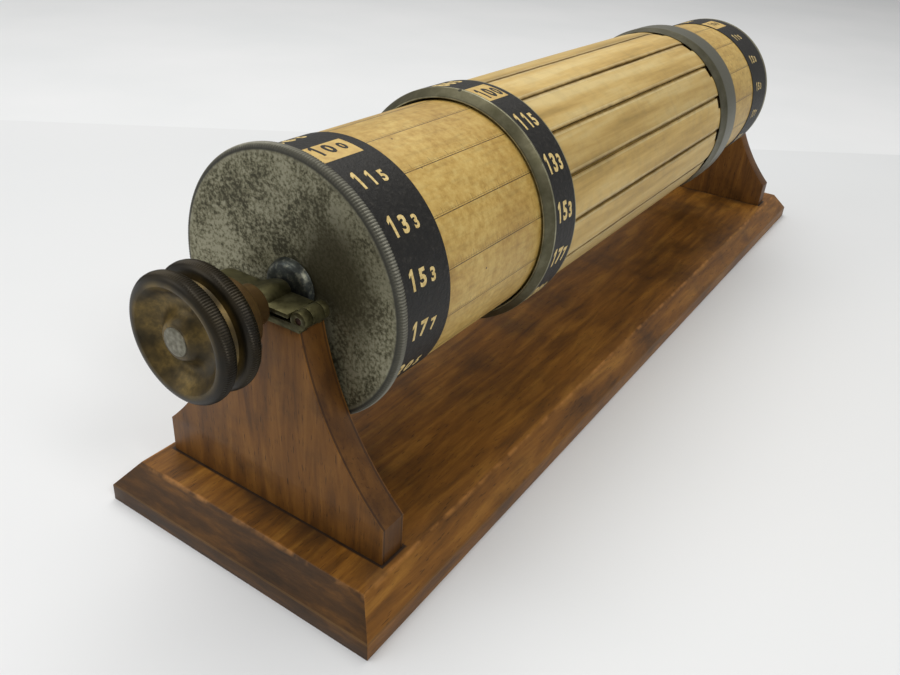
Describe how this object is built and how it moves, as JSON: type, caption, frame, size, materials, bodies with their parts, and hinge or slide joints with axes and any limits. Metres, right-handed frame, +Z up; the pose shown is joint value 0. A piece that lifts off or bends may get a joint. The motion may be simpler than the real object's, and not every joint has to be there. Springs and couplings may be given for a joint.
{
  "type": "cylindrical slide rule",
  "caption": "Cylindrical slide rule: a scale drum turned by a knurled knob between two hinged bearings on a wooden stand, with a slatted sleeve that slides and turns on it.",
  "frame": {"origin": "centre of the base board's underside, on the table", "axes": "+X along the drum from the knob to the far end, +Z up, -Y towards the user, where the bearing hinges are"},
  "size_m": [0.4558, 0.1084, 0.1278],
  "materials": {
    "base_wood": "worn satin varnish over stained end-jointed board",
    "upright_wood": "worn satin varnish, vertical grain",
    "nickel_silver": "dull olive tarnish",
    "steel": "turned",
    "blued_steel": "dark blued, satin",
    "pin_metal": "dark reddish tarnish",
    "screw_brass": "turned",
    "knob_brass": "dark patina with rubbed spots, knurled flanges",
    "rivet_metal": "dull, peened over",
    "tinned_steel": "tinned, speckled with dark corrosion, milled rim",
    "tube_card": "plain",
    "plug_wood": "plain",
    "scale_paper": "yellowed and varnished, printed with scale lines",
    "black_paper": "black print, slight sheen, cream numbers",
    "felt": "dense wool felt",
    "ring_metal": "dull zinc grey with brighter edges",
    "slat_wood": "paper-covered, yellowed"
  },
  "bodies": {
    "stand": {"base_board": "base_wood", "near_upright": "upright_wood", "far_upright": "upright_wood", "upright_screws": "steel", "near_bearing_plate": "nickel_silver", "far_bearing_plate": "nickel_silver", "bearing_plate_screws": "screw_brass", "near_hinge_pin": "pin_metal", "far_hinge_pin": "pin_metal"},
    "near_keeper": {"near_keeper": "nickel_silver"},
    "far_keeper": {"far_keeper": "nickel_silver"},
    "drum": {"spindle": "steel", "near_collar": "blued_steel", "far_collar": "blued_steel", "collar_screws": "steel", "control_knob": "knob_brass", "knob_rivet": "rivet_metal", "near_end_disc": "tinned_steel", "far_end_disc": "tinned_steel", "drum_tube": "tube_card", "near_end_plug": "plug_wood", "far_end_plug": "plug_wood", "drum_scale_sheet": "scale_paper", "near_number_band": "black_paper", "far_number_band": "black_paper"},
    "felt_liners": {"near_felt_liner": "felt", "far_felt_liner": "felt"},
    "sleeve": {"near_sleeve_ring": "ring_metal", "far_sleeve_ring": "ring_metal", "sleeve_number_band": "black_paper", "slat_01": "slat_wood", "slat_02": "slat_wood", "slat_03": "slat_wood", "slat_04": "slat_wood", "slat_05": "slat_wood", "slat_06": "slat_wood", "slat_07": "slat_wood", "slat_08": "slat_wood", "slat_09": "slat_wood", "slat_10": "slat_wood", "slat_11": "slat_wood", "slat_12": "slat_wood", "slat_13": "slat_wood", "slat_14": "slat_wood", "slat_15": "slat_wood", "slat_16": "slat_wood"}
  },
  "joints": [
    {"name": "drum_spin", "type": "hinge", "parent": "stand", "child": "drum", "pos_m": [0, 0, 0.0859], "axis": [1, 0, 0], "continuous": true},
    {"name": "sleeve_slide", "type": "slide", "parent": "drum", "child": "felt_liners", "axis": [1, 0, 0], "range_m": [-0.0752, 0.0995]},
    {"name": "sleeve_turn", "type": "hinge", "parent": "felt_liners", "child": "sleeve", "pos_m": [0, 0, 0.0859], "axis": [1, 0, 0], "continuous": true},
    {"name": "near_keeper_hinge", "type": "hinge", "parent": "stand", "child": "near_keeper", "pos_m": [-0.2, -0.0146, 0.0851], "axis": [1, 0, 0], "range_deg": [0, 170]},
    {"name": "far_keeper_hinge", "type": "hinge", "parent": "stand", "child": "far_keeper", "pos_m": [0.192, -0.0146, 0.0851], "axis": [1, 0, 0], "range_deg": [0, 170]}
  ]
}
